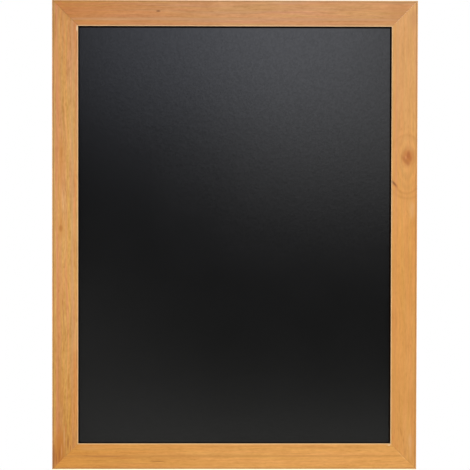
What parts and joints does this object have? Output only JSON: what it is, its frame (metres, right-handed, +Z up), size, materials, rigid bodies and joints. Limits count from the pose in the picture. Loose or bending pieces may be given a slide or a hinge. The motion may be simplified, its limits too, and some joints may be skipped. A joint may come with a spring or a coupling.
{
  "type": "wall chalkboard",
  "caption": "Portrait wall chalkboard: a black writing sheet on a hardboard back in a mitred wooden frame, hung by strap hangers with swinging D-rings.",
  "frame": {"origin": "on the wall plane, behind the middle of the board", "axes": "+Z up, +Y into the wall, +X to the right as seen from the writing side, which looks along -Y"},
  "size_m": [0.7, 0.0231, 0.9],
  "materials": {
    "frame_wood": "honey lacquered, satin",
    "writing_surface": "black melamine, satin",
    "hardboard": "raw brown hardboard",
    "framing_steel": "bright rolled steel",
    "hanger_zinc": "zinc plated",
    "screw_zinc": "zinc plated",
    "bumper_rubber": "moulded, matt"
  },
  "bodies": {
    "board": {"top_rail": "frame_wood", "bottom_rail": "frame_wood", "left_stile": "frame_wood", "right_stile": "frame_wood", "writing_sheet": "writing_surface", "backing_board": "hardboard", "v_nail_top_right_1": "framing_steel", "v_nail_top_right_2": "framing_steel", "v_nail_bottom_right_1": "framing_steel", "v_nail_bottom_right_2": "framing_steel", "v_nail_bottom_left_1": "framing_steel", "v_nail_bottom_left_2": "framing_steel", "v_nail_top_left_1": "framing_steel", "v_nail_top_left_2": "framing_steel", "panel_point_top_rail_1": "framing_steel", "panel_point_top_rail_2": "framing_steel", "panel_point_top_rail_3": "framing_steel", "panel_point_bottom_rail_1": "framing_steel", "panel_point_bottom_rail_2": "framing_steel", "panel_point_bottom_rail_3": "framing_steel", "panel_point_left_stile_1": "framing_steel", "panel_point_left_stile_2": "framing_steel", "panel_point_left_stile_3": "framing_steel", "panel_point_left_stile_4": "framing_steel", "panel_point_right_stile_1": "framing_steel", "panel_point_right_stile_2": "framing_steel", "panel_point_right_stile_3": "framing_steel", "panel_point_right_stile_4": "framing_steel", "left_hanger_strap": "hanger_zinc", "right_hanger_strap": "hanger_zinc", "left_hanger_screw_1": "screw_zinc", "left_hanger_screw_2": "screw_zinc", "right_hanger_screw_1": "screw_zinc", "right_hanger_screw_2": "screw_zinc", "left_wall_bumper": "bumper_rubber", "right_wall_bumper": "bumper_rubber"},
    "left_ring": {"left_hanger_ring": "hanger_zinc"},
    "right_ring": {"right_hanger_ring": "hanger_zinc"}
  },
  "joints": [
    {"name": "left_ring_swing", "type": "hinge", "parent": "board", "child": "left_ring", "pos_m": [-0.329, -0.00255, 0.34], "axis": [1, 0, 0], "range_deg": [0, 179]},
    {"name": "right_ring_swing", "type": "hinge", "parent": "board", "child": "right_ring", "pos_m": [0.329, -0.00255, 0.34], "axis": [1, 0, 0], "range_deg": [0, 179]}
  ]
}
